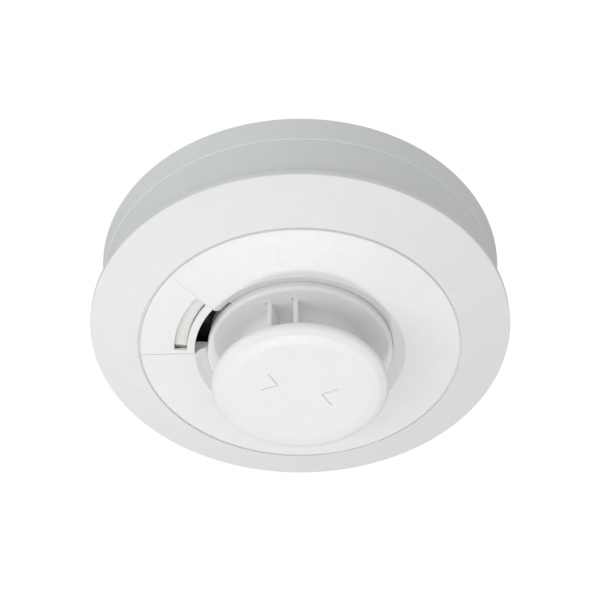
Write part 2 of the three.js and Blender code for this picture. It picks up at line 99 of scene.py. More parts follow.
# %% Places round the axis, as azimuths and half widths in degrees
WEDGE, WEDGE_HALF_INNER, WEDGE_HALF_OUTER = 198.5, 18.2, 21.0  # the indicator segment
WEDGE_R = 29.0  # its inner edge, mm
VENT, VENT_HALF = 199.4, 16.0
SLOT, SLOT_HALF_INNER, SLOT_HALF_OUTER = 199.4, 16.9, 17.4  # the light guide's slot
LENS_INNER_R, LENS_OUTER_R = 31.3, 34.8  # the slot's two long edges, mm
RIB_PAIRS, RIB_PAIR_HALF = (17, 137, 257), 9.8
RIB_ANGLES = [pair + side * RIB_PAIR_HALF for pair in RIB_PAIRS for side in (-1, 1)]
WINDOW_ANGLES = (77, 197, 317)
CASE_SCREW_ANGLES = (30, 150, 270)
LUG_ANGLES = (90, 210, 330)
TERMINAL_ANGLES = (45, 135, 225, 315)
print(f"flange {2 * FLANGE_R:.1f} mm across, cap face at {CAP_Z:.1f} mm")

# %% [markdown]
# ## Surfaces from arrays
# Nearly every piece here could be a Screw or Spin of a drawn outline. Writing the outline and the sweep
# as numpy arrays keeps each size visible, and lets one formula bend, cut or dish a shape where a
# modifier could not. These helpers turn an outline with rounded corners into a mesh.

# %% Outlines with rounded corners
SUPPORT = 0.04  # distance of a supporting point from each end of a straight stretch, mm
LONGEST = 3.0  # the longest part that a straight stretch is usually divided into, mm
REPEATED = 1e-5  # points closer than this are one point, mm


def rounded(corners, steps=6):
    """An outline through (radius, height, fillet) corners, in order, with each corner an arc.

    The arc starts fillet x tan(turn / 2) before the corner, along the way in, and its points are
    start + fillet x (sin a x way in + (1 - cos a) x normal), for a from 0 to the turn.
    """
    corners = np.asarray(corners, float)
    at, fillet = corners[:, :2], corners[:, 2]
    way_in = at - np.roll(at, 1, 0)
    way_out = np.roll(at, -1, 0) - at
    way_in /= np.linalg.norm(way_in, axis=1)[:, None]
    way_out /= np.linalg.norm(way_out, axis=1)[:, None]
    cross = way_in[:, 0] * way_out[:, 1] - way_in[:, 1] * way_out[:, 0]
    turn = np.abs(np.arctan2(cross, (way_in * way_out).sum(1)))
    side = np.sign(cross)[:, None]
    normal = np.stack([-way_in[:, 1], way_in[:, 0]], 1) * side
    start = at - way_in * (fillet * np.tan(turn / 2))[:, None]
    share = np.linspace(0, 1, steps + 1)
    angle = turn[:, None] * share
    arc = (np.sin(angle)[..., None] * way_in[:, None] + (1 - np.cos(angle))[..., None] * normal[:, None])
    return (start[:, None] + fillet[:, None, None] * arc).reshape(-1, 2)


def without_repeats(outline, closed=True):
    """The outline with each point that repeats the one before it left out."""
    before = np.roll(outline, 1, 0)
    keep = np.linalg.norm(outline - before, axis=1) > REPEATED
    if not closed:
        keep[0] = True
    return outline[keep]


def supported(outline, longest=LONGEST, closed=True):
    """The outline with points added: one near each end of a long stretch, and one every longest mm.

    A smooth-shaded flat next to a small fillet needs such supporting points, or it looks bowed. Longest
    is one number, or one for the stretch after each point.
    """
    outline = without_repeats(outline, closed)
    ends = np.roll(outline, -1, 0) if closed else outline[1:]
    starts = outline if closed else outline[:-1]
    lengths = np.linalg.norm(ends - starts, axis=1)
    counts = np.where(lengths > 6 * SUPPORT, np.ceil(lengths / longest).astype(int) + 1, 0)
    pieces = []
    for start, end, length, count in zip(starts, ends, lengths, counts):
        inner = np.linspace(SUPPORT / length, 1 - SUPPORT / length, count) if count else np.empty(0)
        share = np.concatenate([[0.0], inner])[:, None]
        pieces.append(start + share * (end - start))
    if not closed:
        pieces.append(outline[-1:])
    return np.concatenate(pieces)


def revolved(outline, steps=256, start=0.0, sweep=360.0):
    """Outline (radius, height) carried round +Z: x = r cos a, y = r sin a, z = height."""
    whole = np.isclose(abs(sweep), 360.0)
    angle = np.radians(start + np.linspace(0, sweep, steps + (not whole), endpoint=not whole))
    r, z = outline[:, 0], outline[:, 1]
    x, y = np.cos(angle)[:, None] * r, np.sin(angle)[:, None] * r
    return np.stack([x, y, np.broadcast_to(z, x.shape)], -1)


print("a filleted square has", len(rounded([(0, 0, 1), (9, 0, 1), (9, 9, 1), (0, 9, 1)])), "points")

# %% Meshes from grids
MERGED = 1e-7  # points of a mesh closer than this are merged, m


def quads(rows, columns, wrap_rows=True, wrap_columns=True):
    """Corner numbers of the quads between neighbours in a grid of rows x columns points."""
    r = np.arange(rows if wrap_rows else rows - 1)[:, None]
    c = np.arange(columns if wrap_columns else columns - 1)[None, :]
    r_next, c_next = (r + 1) % rows, (c + 1) % columns
    here, there = r * columns, r_next * columns
    return np.stack([here + c, here + c_next, there + c_next, there + c], -1).reshape(-1, 4)


def capped(rows, columns):
    """The quads between a stack of closed rows, and one face over the first row and over the last."""
    sides = [list(face) for face in quads(rows, columns, wrap_rows=False)]
    return sides + [list(range(columns)), list(range((rows - 1) * columns, rows * columns))]


def mesh_of(name, points, faces):
    """A mesh in metres from points in mm, with repeated points merged and its faces turned outwards."""
    mesh = bpy.data.meshes.new(name)
    places = (np.asarray(points).reshape(-1, 3) * MM).tolist()
    mesh.from_pydata(places, [], [list(map(int, face)) for face in faces])
    work = bmesh.new()
    work.from_mesh(mesh)
    bmesh.ops.remove_doubles(work, verts=work.verts, dist=MERGED)
    bmesh.ops.recalc_face_normals(work, faces=work.faces)
    work.to_mesh(mesh)
    work.free()
    mesh.update()
    return mesh


def lathe(name, corners, steps=256, longest=LONGEST):
    """A turned solid from a closed outline of (radius, height, fillet) corners."""
    outline = supported(rounded(corners), longest)
    grid = revolved(outline, steps)
    return mesh_of(name, grid, quads(*grid.shape[:2]))


def lathe_from_axis(name, corners, steps=256, longest=LONGEST):
    """A turned solid whose outline starts and ends on the axis: first and last corner have radius 0."""
    outline = rounded([(*c[:2], 0) if c[0] == 0 else c for c in corners])
    outline = supported(outline, longest, closed=False)
    grid = revolved(outline, steps)
    return mesh_of(name, grid, quads(*grid.shape[:2], wrap_columns=False))


# %% [markdown]
# ## Putting a piece in place
# Each finished mesh becomes an object at the origin, smooth where its faces nearly line up, and is told
# which body of the frame it moves with and which frame node it stands for. Cuts are made with the
# Boolean modifier, applied at once so that the mesh is final.

# %% Pieces and cuts
SHARP = np.radians(32)  # edges that turn by more than this stay crisp


def place(mesh, material, body, slot, *nodes):
    """An object for the mesh that rides on a body and stands for frame nodes."""
    mesh.shade_smooth()
    mesh.set_sharp_from_angle(angle=SHARP)
    mesh.materials.clear()
    mesh.materials.append(material)
    piece = bpy.data.objects.new(mesh.name, mesh)
    bpy.context.scene.collection.objects.link(piece)
    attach(piece, body)
    if nodes:
        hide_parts(*nodes)
    print(f"{piece.name}: {len(mesh.polygons)} faces")
    return piece


def combined(mesh, others, operation):
    """The mesh after a Boolean with each of the others: UNION joins them and DIFFERENCE cuts them out."""
    body = bpy.data.objects.new(mesh.name + "-body", mesh)
    bpy.context.scene.collection.objects.link(body)
    tools = []
    for other in others:
        tool = bpy.data.objects.new(mesh.name + "-tool", other)
        bpy.context.scene.collection.objects.link(tool)
        step = body.modifiers.new("combine", "BOOLEAN")
        step.operation, step.solver, step.object = operation, "MANIFOLD", tool
        tools.append(tool)
    bpy.context.view_layer.update()
    result = bpy.data.meshes.new_from_object(body.evaluated_get(bpy.context.evaluated_depsgraph_get()))
    name = mesh.name
    for used in [body, *tools]:
        data = used.data
        bpy.data.objects.remove(used)
        bpy.data.meshes.remove(data)
    result.name = name
    return result


def polar(radius, azimuth):
    """The x and y of a radius and an azimuth in degrees."""
    a = np.radians(azimuth)
    return np.array([radius * np.cos(a), radius * np.sin(a)])


def turned(points, azimuth):
    """Points (x, y) or (x, y, z) turned about +Z by an azimuth in degrees."""
    turn = np.eye(points.shape[-1])
    turn[0, :2], turn[1, :2] = polar(1, azimuth), polar(1, azimuth + 90)
    return points @ turn


def arc_block(name, inner, outer, middle, half, bottom, top, edge=0.0, steps=24):
    """Part of a ring between two azimuths, with the corners of its section rounded by edge."""
    corners = [(inner, bottom, edge), (outer, bottom, edge), (outer, top, edge), (inner, top, edge)]
    outline = without_repeats(rounded(corners, 4))
    grid = revolved(outline, steps, middle - half, 2 * half)
    return mesh_of(name, grid, capped(*grid.shape[:2]))


def stacked(name, loops, levels):
    """An upright bar through (x, y) loops of as many points each, one loop at each level."""
    rows = [np.column_stack([loop, np.full(len(loop), z)]) for loop, z in zip(loops, levels)]
    return mesh_of(name, rows, capped(len(rows), len(rows[0])))


def block(name, size, centre, azimuth):
    """A box of a size, centred at a place and then turned about +Z."""
    corner = np.array([[x, y, z] for x in (-1, 1) for y in (-1, 1) for z in (-1, 1)]) / 2
    faces = [(0, 1, 3, 2), (4, 6, 7, 5), (0, 4, 5, 1), (2, 3, 7, 6), (0, 2, 6, 4), (1, 5, 7, 3)]
    return mesh_of(name, turned(corner * size + centre, azimuth), faces)


def pin(name, radius, centre, bottom, top, steps=32):
    """An upright round bar."""
    mesh = lathe_from_axis(name, [(0, bottom, 0), (radius, bottom, 0), (radius, top, 0), (0, top, 0)], steps)
    mesh.transform(Matrix.Translation(Vector((*centre, 0)) * MM))
    return mesh


# %% [markdown]
# ## Finishes
# Moulded casings are white ABS or polycarbonate with a fine spark-eroded grain: many tiny rounded pits
# about a third of a millimetre across. A flat colour would look like paper, so the shader adds that
# grain as bump, a very slow waviness as moulded walls have, and a slight mottle in tint and roughness.
# All patterns read Object coordinates, which are metres in the frame, so the scale of each is real.

# %% Material helpers
NOISE_RANGE = (0.3, 0.7)  # nearly all of a noise pattern's values lie in this range


def new_material(name):
    """An empty node material with a Principled shader, and its node tree."""
    material = bpy.data.materials.new(name)
    material.use_nodes = True
    nodes, links = material.node_tree.nodes, material.node_tree.links
    return material, nodes, links, nodes["Principled BSDF"]


def noise(nodes, links, size, detail=3.0, roughness=0.55):
    """The factor of a noise pattern whose blobs are about size mm across, on Object coordinates."""
    coordinates = nodes.new("ShaderNodeTexCoord")
    pattern = nodes.new("ShaderNodeTexNoise")
    pattern.inputs["Scale"].default_value = 1 / (size * MM)
    pattern.inputs["Detail"].default_value = detail
    pattern.inputs["Roughness"].default_value = roughness
    links.new(coordinates.outputs["Object"], pattern.inputs["Vector"])
    return pattern.outputs["Fac"]


def ramp(nodes, links, factor, first, last):
    """A colour that goes from first to last over the range of a noise; a colour is three numbers."""
    node = nodes.new("ShaderNodeValToRGB")
    for element, position, colour in zip(node.color_ramp.elements, NOISE_RANGE, (first, last)):
        element.position = position
        element.color = (*colour, 1)
    links.new(factor, node.inputs["Fac"])
    return node.outputs["Color"]


def spread(nodes, links, factor, low_value, high_value):
    """A factor stretched from the range of a noise to another range of values."""
    node = nodes.new("ShaderNodeMapRange")
    sockets = ("From Min", "From Max", "To Min", "To Max")
    for socket, value in zip(sockets, (*NOISE_RANGE, low_value, high_value)):
        node.inputs[socket].default_value = value
    links.new(factor, node.inputs["Value"])
    return node.outputs["Result"]


def bump(nodes, links, shader, layers):
    """Stacks bump layers of (height factor, depth in mm) on a shader's normal."""
    normal = None
    for height, depth in layers:
        node = nodes.new("ShaderNodeBump")
        node.inputs["Strength"].default_value = 1.0
        node.inputs["Distance"].default_value = depth * MM
        links.new(height, node.inputs["Height"])
        if normal is not None:
            links.new(normal, node.inputs["Normal"])
        normal = node.outputs["Normal"]
    links.new(normal, shader.inputs["Normal"])


# %% White moulding


def moulded(name, colour, roughness=0.42, grain=0.012, mottle=0.012):
    """Grained white plastic: colour mottled by a slow noise, roughness by a finer one, and grain as bump."""
    material, nodes, links, shader = new_material(name)
    colour = np.array(colour)
    slow = noise(nodes, links, 9.0, 2.0)
    tint = ramp(nodes, links, slow, colour * (1 - mottle), np.minimum(colour * (1 + mottle), 1))
    links.new(tint, shader.inputs["Base Color"])
    fine = noise(nodes, links, 1.3, 3.0)
    links.new(spread(nodes, links, fine, roughness - 0.05, roughness + 0.06), shader.inputs["Roughness"])
    pits = noise(nodes, links, 0.34, 2.0)
    waves = noise(nodes, links, 14.0, 1.0)
    bump(nodes, links, shader, [(pits, grain), (waves, 0.05)])
    shader.inputs["IOR"].default_value = 1.5
    return material


WHITE = moulded("white moulding", (0.80, 0.81, 0.80))
BEZEL_WHITE = moulded("bezel moulding", (0.76, 0.775, 0.765))
# The side walls' white is darker and a little greener than the white moulding: painted shade, because walls
# that face sideways get less light. The base and the rear cover use it too.
SHADED_WALL_WHITE = moulded("side wall moulding with painted shade", (0.735, 0.765, 0.757))
CAP_WHITE = moulded("cap moulding", (0.79, 0.80, 0.79), roughness=0.38)
BLACK = moulded("black moulding", (0.012, 0.012, 0.013), roughness=0.7, grain=0.02, mottle=0.2)
print("mouldings:", [m.name for m in (WHITE, BEZEL_WHITE, SHADED_WALL_WHITE, CAP_WHITE, BLACK)])

# %% Frosted light guide, rubber and epoxy


def frosted(name):
    """Frosted plastic: light spreads under its surface, and a fine grain blurs what it reflects."""
    material, nodes, links, shader = new_material(name)
    cloud = noise(nodes, links, 2.2, 3.0)
    tint = ramp(nodes, links, cloud, (0.70, 0.71, 0.68), (0.78, 0.78, 0.75))
    links.new(tint, shader.inputs["Base Color"])
    grain = noise(nodes, links, 0.25, 2.0)
    links.new(spread(nodes, links, grain, 0.3, 0.42), shader.inputs["Roughness"])
    bump(nodes, links, shader, [(grain, 0.01)])
    shader.inputs["Subsurface Weight"].default_value = 0.3
    shader.inputs["Subsurface Radius"].default_value = (2.0 * MM, 2.0 * MM, 1.8 * MM)
    shader.inputs["Subsurface Scale"].default_value = 1.0
    return material


def matt(name, colour, roughness, grain_size, depth):
    """A plain matt finish with a grain of its own size."""
    material, nodes, links, shader = new_material(name)
    colour = np.array(colour)
    patch = noise(nodes, links, grain_size * 6, 2.0)
    tint = ramp(nodes, links, patch, colour * 0.85, np.minimum(colour * 1.15, 1))
    links.new(tint, shader.inputs["Base Color"])
    grain = noise(nodes, links, grain_size, 3.0)
    links.new(spread(nodes, links, grain, roughness - 0.08, roughness + 0.08), shader.inputs["Roughness"])
    bump(nodes, links, shader, [(grain, depth)])
    return material


FROSTED = frosted("frosted light guide")
RUBBER = matt("moulded rubber", (0.03, 0.03, 0.031), 0.8, 0.5, 0.02)
PACKAGE = matt("moulding compound", (0.025, 0.026, 0.028), 0.6, 0.2, 0.01)
EPOXY = matt("dipped epoxy", (0.20, 0.085, 0.03), 0.22, 1.2, 0.02)
SLEEVE = matt("shrink sleeve", (0.03, 0.06, 0.2), 0.35, 0.8, 0.01)

# %% [markdown]
# ## Metal and board finishes
# The contacts are stamped brass, some of it tinned, and the screws are zinc plated. Sheet metal shows
# faint rolling lines along one direction, made by stretching a noise. The board's green solder resist
# lies over copper tracks, so it is a little lighter and higher where there is copper beneath.

# %% Metal and board


def metal(name, colour, roughness, stretch=(1, 1, 1), line_size=0.3):
    """Plated or rolled metal: stretched noise varies roughness and gives fine lines."""
    material, nodes, links, shader = new_material(name)
    coordinates = nodes.new("ShaderNodeTexCoord")
    mapping = nodes.new("ShaderNodeMapping")
    mapping.inputs["Scale"].default_value = stretch
    lines = nodes.new("ShaderNodeTexNoise")
    lines.inputs["Scale"].default_value = 1 / (line_size * MM)
    lines.inputs["Detail"].default_value = 3.0
    links.new(coordinates.outputs["Object"], mapping.inputs["Vector"])
    links.new(mapping.outputs["Vector"], lines.inputs["Vector"])
    factor = lines.outputs["Fac"]
    colour = np.array(colour)
    stain = noise(nodes, links, 3.0, 3.0)
    links.new(ramp(nodes, links, stain, colour * 0.86, colour), shader.inputs["Base Color"])
    links.new(spread(nodes, links, factor, roughness - 0.08, roughness + 0.1), shader.inputs["Roughness"])
    bump(nodes, links, shader, [(factor, 0.004)])
    shader.inputs["Metallic"].default_value = 1.0
    return material


def laminate(name, two_bricks=6.0):
    """Solder resist over tracks: the mortar of a brick pattern stands for copper runs, lighter and raised."""
    material, nodes, links, shader = new_material(name)
    coordinates = nodes.new("ShaderNodeTexCoord")
    tracks = nodes.new("ShaderNodeTexBrick")
    tracks.inputs["Scale"].default_value = 1 / (two_bricks * MM)
    tracks.inputs["Mortar Size"].default_value = 0.06
    tracks.inputs["Mortar Smooth"].default_value = 0.3
    tracks.inputs["Color1"].default_value = (0.018, 0.10, 0.05, 1)
    tracks.inputs["Color2"].default_value = (0.022, 0.115, 0.06, 1)
    tracks.inputs["Mortar"].default_value = (0.05, 0.24, 0.12, 1)
    links.new(coordinates.outputs["Object"], tracks.inputs["Vector"])
    links.new(tracks.outputs["Color"], shader.inputs["Base Color"])
    weave = noise(nodes, links, 0.5, 3.0)
    links.new(spread(nodes, links, weave, 0.32, 0.45), shader.inputs["Roughness"])
    bump(nodes, links, shader, [(weave, 0.008), (tracks.outputs["Fac"], 0.03)])
    return material


BRASS = metal("stamped brass", (0.80, 0.62, 0.33), 0.32, (1, 1, 8))
TIN = metal("tinned metal", (0.80, 0.81, 0.82), 0.28, (1, 1, 6))
ZINC = metal("zinc plate", (0.68, 0.70, 0.73), 0.3)
BOARD = laminate("board laminate")
print("metals:", [m.name for m in (BRASS, TIN, ZINC)])

# %% [markdown]
# ## Mounting base
# The base is a shallow cup screwed to the ceiling. Its outside is the tapered band at the top of the
# detector. Its back is flat, with a cable opening, two slots for screws and shallow pockets between
# ribs, which moulders use to keep a flat wall from sinking. The cup is a turned outline; the pockets
# are a height that depends on radius and azimuth, and the slots are cut out.

# %% Base shell with pockets
CABLE_R = 14.0
HUB_WALL, HUB_DEPTH = 1.6, 1.4  # the collar round the cable opening
PLATE_Z = -2.2  # the inner face of the plate
BASE_WALL = 2.2
POCKET_DEPTH = 0.7
POCKET_EDGE = 1.2  # width of a pocket's sloping side
POCKET_STEP = 0.8  # distance of the rings that shape the pockets
BACK_Z = -0.01  # what lies above this belongs to the back
POCKET_RIB_HALF = 1.3
POCKETS_INNER_R, POCKETS_OUTER_R = CABLE_R + 3.5, 49.0
SLOT_BAND_HALF = 6.0  # the plain band along X that holds both slots


def smooth(value, start, end):
    """0 below start, 1 above end, and a smooth S between."""
    share = np.clip((value - start) / (end - start), 0, 1)
    return share * share * (3 - 2 * share)


def base_shell():
    """A cup turned from its outline. Points on its back sink by the pocket depth where they are far
    enough, in mm, from the inner and outer rings, from the eight ribs and from the two slots."""
    corners = [
        (CABLE_R, 0, 0.3),
        (BASE_R, 0, 0.5),
        (BASE_RIM_R + 0.03, BASE_RIM_Z + 0.4, 0.15),
        (HOUSING_R, BASE_RIM_Z, 0.04),
        (BASE_RIM_R - 2, BASE_RIM_Z, 0.3),
        (BASE_R - BASE_WALL, PLATE_Z, 0.6),
        (CABLE_R + HUB_WALL, PLATE_Z, 0.4),
        (CABLE_R + HUB_WALL, PLATE_Z - HUB_DEPTH, 0.3),
        (CABLE_R, PLATE_Z - HUB_DEPTH, 0.3),
    ]
    outline = without_repeats(rounded(corners))
    longest = np.where(outline[:, 1] > BACK_Z, POCKET_STEP, LONGEST)
    grid = revolved(supported(outline, longest), 480)
    x, y, z = grid[..., 0], grid[..., 1], grid[..., 2]
    r, a = np.hypot(x, y), np.arctan2(y, x)
    from_rib = r * np.abs(np.sin(4 * a)) / 4 - POCKET_RIB_HALF
    from_slots = np.where(np.abs(x) < np.abs(y), POCKETS_OUTER_R, np.maximum(np.abs(y) - SLOT_BAND_HALF, 0))
    from_rings = np.minimum(r - POCKETS_INNER_R, POCKETS_OUTER_R - r)
    inside = np.minimum(np.minimum(from_rib, from_slots), from_rings)
    grid[..., 2] = z - POCKET_DEPTH * smooth(inside, 0, POCKET_EDGE) * (z > BACK_Z)
    return mesh_of("mounting_base_shell", grid, quads(*grid.shape[:2]))


shell = base_shell()
print("base shell:", len(shell.polygons), "faces")

# %% Base slots, bayonet ledges and terminal bosses
SLOT_HALF, SLOT_END_R, SLOT_AT = 3.5, 2.0, 30.0  # a slot for a ceiling screw
LOCK_RING_INNER_R, LOCK_RING_OUTER_R = 47.3, 49.1
LEDGE_INNER_R, LEDGE_OUTER_R = 44.4, 47.8
LEDGE_TOP_Z = -6.0
LEDGE_HALF, STOP_HALF = 9, 1.5  # degrees
LOCK_STOP_FROM_LEDGE, ENTRY_STOP_FROM_LEDGE = 11, -31.5  # degrees
BOSS_SIZE, BOSS_CENTRE = (13.5, 9, 1.5), (30.6, 0, -2.45)
SCREW_HOLE_R, SCREW_HOLE_AT = 1.8, 28
IN_PLATE_Z = -1.7  # fittings start a little inside the plate, so that they join it


def slot_cutter(azimuth):
    """A round-ended slot for a ceiling screw: a flat loop of two half circles, carried down through."""
    a = np.linspace(-np.pi / 2, np.pi / 2, 17)
    half = np.stack([SLOT_HALF + SLOT_END_R * np.cos(a), SLOT_END_R * np.sin(a)], 1)
    loop = turned(np.concatenate([half, -half]) + (SLOT_AT, 0), azimuth)
    return stacked("slot", [loop, loop], [1.0, -5.0])


def base_fittings():
    """The ring with the bayonet ledges and stops, and the boss under each terminal."""
    parts = [lathe("lock ring", [
        (LOCK_RING_INNER_R, BASE_RIM_Z, 0.3),
        (LOCK_RING_OUTER_R, BASE_RIM_Z, 0.3),
        (LOCK_RING_OUTER_R, IN_PLATE_Z, 0),
        (LOCK_RING_INNER_R, IN_PLATE_Z, 0),
    ])]
    radii = (LEDGE_INNER_R, LEDGE_OUTER_R)
    for at in LUG_ANGLES:
        lock_stop, entry_stop = at + LOCK_STOP_FROM_LEDGE, at + ENTRY_STOP_FROM_LEDGE
        parts.append(arc_block("ledge", *radii, at, LEDGE_HALF, BASE_RIM_Z, LEDGE_TOP_Z, 0.25))
        parts.append(arc_block("lock stop", *radii, lock_stop, STOP_HALF, BASE_RIM_Z, IN_PLATE_Z, 0.2))
        parts.append(arc_block("entry stop", *radii, entry_stop, STOP_HALF, BASE_RIM_Z, IN_PLATE_Z, 0.2))
    return parts + [block("boss", BOSS_SIZE, BOSS_CENTRE, at) for at in TERMINAL_ANGLES]


base_mesh = combined(shell, base_fittings(), "UNION")
screw_holes = [pin("hole", SCREW_HOLE_R, polar(SCREW_HOLE_AT, at), -4.2, -0.9) for at in TERMINAL_ANGLES]
base_mesh = combined(base_mesh, [slot_cutter(0), slot_cutter(180), *screw_holes], "DIFFERENCE")
base_mesh.name = "base_moulding"
place(base_mesh, SHADED_WALL_WHITE, "base", "white_moulding", "mounting_base")

# %% [markdown]
# ## Side wall of the head
# Below a fine parting line the head's own wall carries the band on. It is a plain turned ring. The base
# ends in a narrow chamfer just above it, so the parting line catches the light instead of reading dark.

# %% Side wall
HOUSING_WALL = 2.0
PARTING_GAP = 0.05

housing_top = BASE_RIM_Z - PARTING_GAP
housing = lathe("side_wall", [
    (HOUSING_R - HOUSING_WALL, HOUSING_LOW_Z, 0.2),
    (HOUSING_R - 0.15, HOUSING_LOW_Z, 0.2),
    (HOUSING_R - 0.02, housing_top, 0.05),
    (HOUSING_R - HOUSING_WALL, housing_top, 0.2),
])
place(housing, SHADED_WALL_WHITE, "head", "white_moulding", "head_housing")

# %% [markdown]
# ## Bezel
# The bezel slopes from a thin lip, the widest part of the detector, to the groove round the disc. A
# shallow ledge closes the groove a little way in, so the groove reads as a fine line and not a gap.
# Three columns behind it take the case screws.

# %% Bezel
CASE_SCREW_AT = 50.3  # distance of the case screws from the axis
COLUMN_R, PILOT_R = 3.0, 1.4
GROOVE_DEPTH = 0.66
LEDGE_DEPTH = 3.6  # how far the ledge round the disc reaches back
SPIGOT_R, SPIGOT_WALL, SPIGOT_TOP_Z = HOUSING_R - 2.3, 1.6, -19.5


def bezel_mesh():
    """The bezel's turned outline joined with its three screw columns."""
    ring = lathe("bezel", [
        (FLANGE_R, LIP_TOP_Z, 0.3),
        (FLANGE_R, LIP_EDGE_Z, 0.4),
        (GROOVE_R, FACE_Z, 0.16),
        (GROOVE_R, FACE_Z + GROOVE_DEPTH, 0.15),
        (DISC_R, FACE_Z + GROOVE_DEPTH, 0.02),
        (DISC_R, FACE_Z + LEDGE_DEPTH, 0.1),
        (GROOVE_R + 1.6, FACE_Z + LEDGE_DEPTH, 0.2),
        (GROOVE_R + 1.9, FACE_Z + LEDGE_DEPTH - 1, 0.4),
        (SPIGOT_R - SPIGOT_WALL, LIP_EDGE_Z, 0.6),
        (SPIGOT_R - SPIGOT_WALL, SPIGOT_TOP_Z, 0.2),
        (SPIGOT_R, SPIGOT_TOP_Z, 0.2),
        (SPIGOT_R, LIP_TOP_Z, 0.2),
    ])
    centres = [polar(CASE_SCREW_AT, at) for at in CASE_SCREW_ANGLES]
    columns = [pin("column", COLUMN_R, centre, FACE_Z + 3.2, -11.1) for centre in centres]
    pilots = [pin("pilot", PILOT_R, centre, -18.5, -10) for centre in centres]
    return combined(combined(ring, columns, "UNION"), pilots, "DIFFERENCE")


place(bezel_mesh(), BEZEL_WHITE, "head", "white_moulding", "front_bezel")

# %% [markdown]
# ## Front disc
# The disc slopes gently out to a crest near the turret, then back into a channel round it. It has two
# gaps on one side: a seat for the indicator segment and, nearer the turret, a dark vent. Instead of
# cutting them, the outline of the disc is carried round the axis from one edge of the gap to the other,
# and the angle of that edge depends on the radius, so both gaps come out of one formula.

# %% Front disc
HAIRLINE = 0.05  # gap beside the indicator segment, mm
NOTCH, NOTCH_END = 9.0, 1.2  # the vent runs on and tapers off as a fine slot beside the turret, degrees
NOTCH_WIDTH = 0.5
FILLED = 9.0  # just past the vent's other end the channel is shallower, over this many degrees
FILLED_SHARE = 0.7
SKIRT_DEPTH, FLANGE_DEPTH = 3.9, 5.2  # how far the disc's skirt and its flange reach back


def front(radius):
    """Height of the disc's face: it falls evenly from its outer edge to the crest."""
    return FACE_Z + (CREST_Z - FACE_Z) * (DISC_R - radius) / (DISC_R - CREST_R)


def gap_edges(radius):
    """Azimuths of the gap's two edges at a radius: the vent's inside WEDGE_R, the segment's outside."""
    share = np.clip((radius - WEDGE_R) / (DISC_R - WEDGE_R), 0, 1)
    half = WEDGE_HALF_INNER + (WEDGE_HALF_OUTER - WEDGE_HALF_INNER) * share
    outside = smooth(radius, WEDGE_R - 0.05, WEDGE_R + 0.1)
    vent = [VENT - VENT_HALF, VENT + VENT_HALF]
    segment = [WEDGE - half, WEDGE + half]
    return [inner + outside * (outer - inner) for inner, outer in zip(vent, segment)]


def disc_outline():
    """The disc's closed section: channel, crest and face, then the skirt, its flange and the back."""
    inner, flange_r, skirt_r = TURRET_R + 0.1, GROOVE_R + 1.8, DISC_R - 2
    return supported(rounded([
        (inner, CHANNEL_Z + 0.5, 0.03),
        (CHANNEL_R, CHANNEL_Z - 0.05, 0.5),
        (CREST_R, CREST_Z, 0.18),
        (DISC_R, FACE_Z, 0.15),
        (DISC_R, FACE_Z + SKIRT_DEPTH, 0.1),
        (flange_r, FACE_Z + SKIRT_DEPTH, 0.2),
        (flange_r, FACE_Z + FLANGE_DEPTH, 0.2),
        (skirt_r, FACE_Z + FLANGE_DEPTH, 0.2),
        (skirt_r, FACE_Z + WALL, 0.3),
        (CREST_R, CHANNEL_Z + WALL, 0.5),
        (inner, CHANNEL_Z + WALL, 0.1),
    ]), longest=0.8)


def front_disc(steps=480):
    """Disc outline carried from one side of the gap round to the other, its ends closed by a face.

    Beside the vent's one end the inner edge moves out to leave the fine slot. Beside its other end the
    inner slope is raised by a share of its depth below the crest.
    """
    r, z = disc_outline().T
    gap_start, gap_end = gap_edges(r)
    azimuth = gap_end + np.linspace(0, 1, steps + 1)[:, None] * (360 + gap_start - gap_end)
    notch_end = VENT + VENT_HALF + NOTCH
    beside_vent = 1 - smooth(azimuth, notch_end - NOTCH_END, notch_end)
    radius = r + NOTCH_WIDTH * beside_vent * (1 - smooth(r, TURRET_R + 0.3, TURRET_R + 1.5))
    vent_start = 360 + VENT - VENT_HALF
    filled = FILLED_SHARE * smooth(azimuth, vent_start - FILLED, vent_start)
    inner_slope = (r < CREST_R) * (z < CHANNEL_Z + 0.3)
    height = z - filled * inner_slope * (z - CREST_Z) / (CHANNEL_Z - CREST_Z)
    a = np.radians(azimuth)
    grid = np.stack([radius * np.cos(a), radius * np.sin(a), height], -1)
    return mesh_of("disc", grid, capped(*grid.shape[:2]))


place(front_disc(), WHITE, "head", "white_moulding", "front_disc")

# %% [markdown]
# ## Indicator segment
# The segment is a separate panel in line with the disc, with an arc-shaped slot for the light guide. A
# panel with one hole is a ring in disguise: going once round it, each point of its outer edge has a
# partner on the edge of the slot, and the face is what lies between the two. Worked out in angle and
# radius, both edges are plain four-sided figures, so partners are easy to find.

# %% Indicator segment
RIM = 0.75  # thickness of the panel round the slot, mm


def four_sided(low_r, high_r, half_low, half_high, middle, inset, steps=60):
    """A sector's outline as (azimuth, radius) pairs, moved in by inset mm, with steps points a side."""
    low_r, high_r = low_r + inset, high_r - inset
    half_low, half_high = half_low - np.degrees(inset / low_r), half_high - np.degrees(inset / high_r)
    corners = np.array([(-half_low, low_r), (-half_high, high_r), (half_high, high_r), (half_low, low_r)])
    corners = corners + (middle, 0)
    share = np.linspace(0, 1, steps, endpoint=False)[:, None]
    following = np.roll(corners, -1, 0)
    return (corners[:, None] + share * (following - corners)[:, None]).reshape(-1, 2)


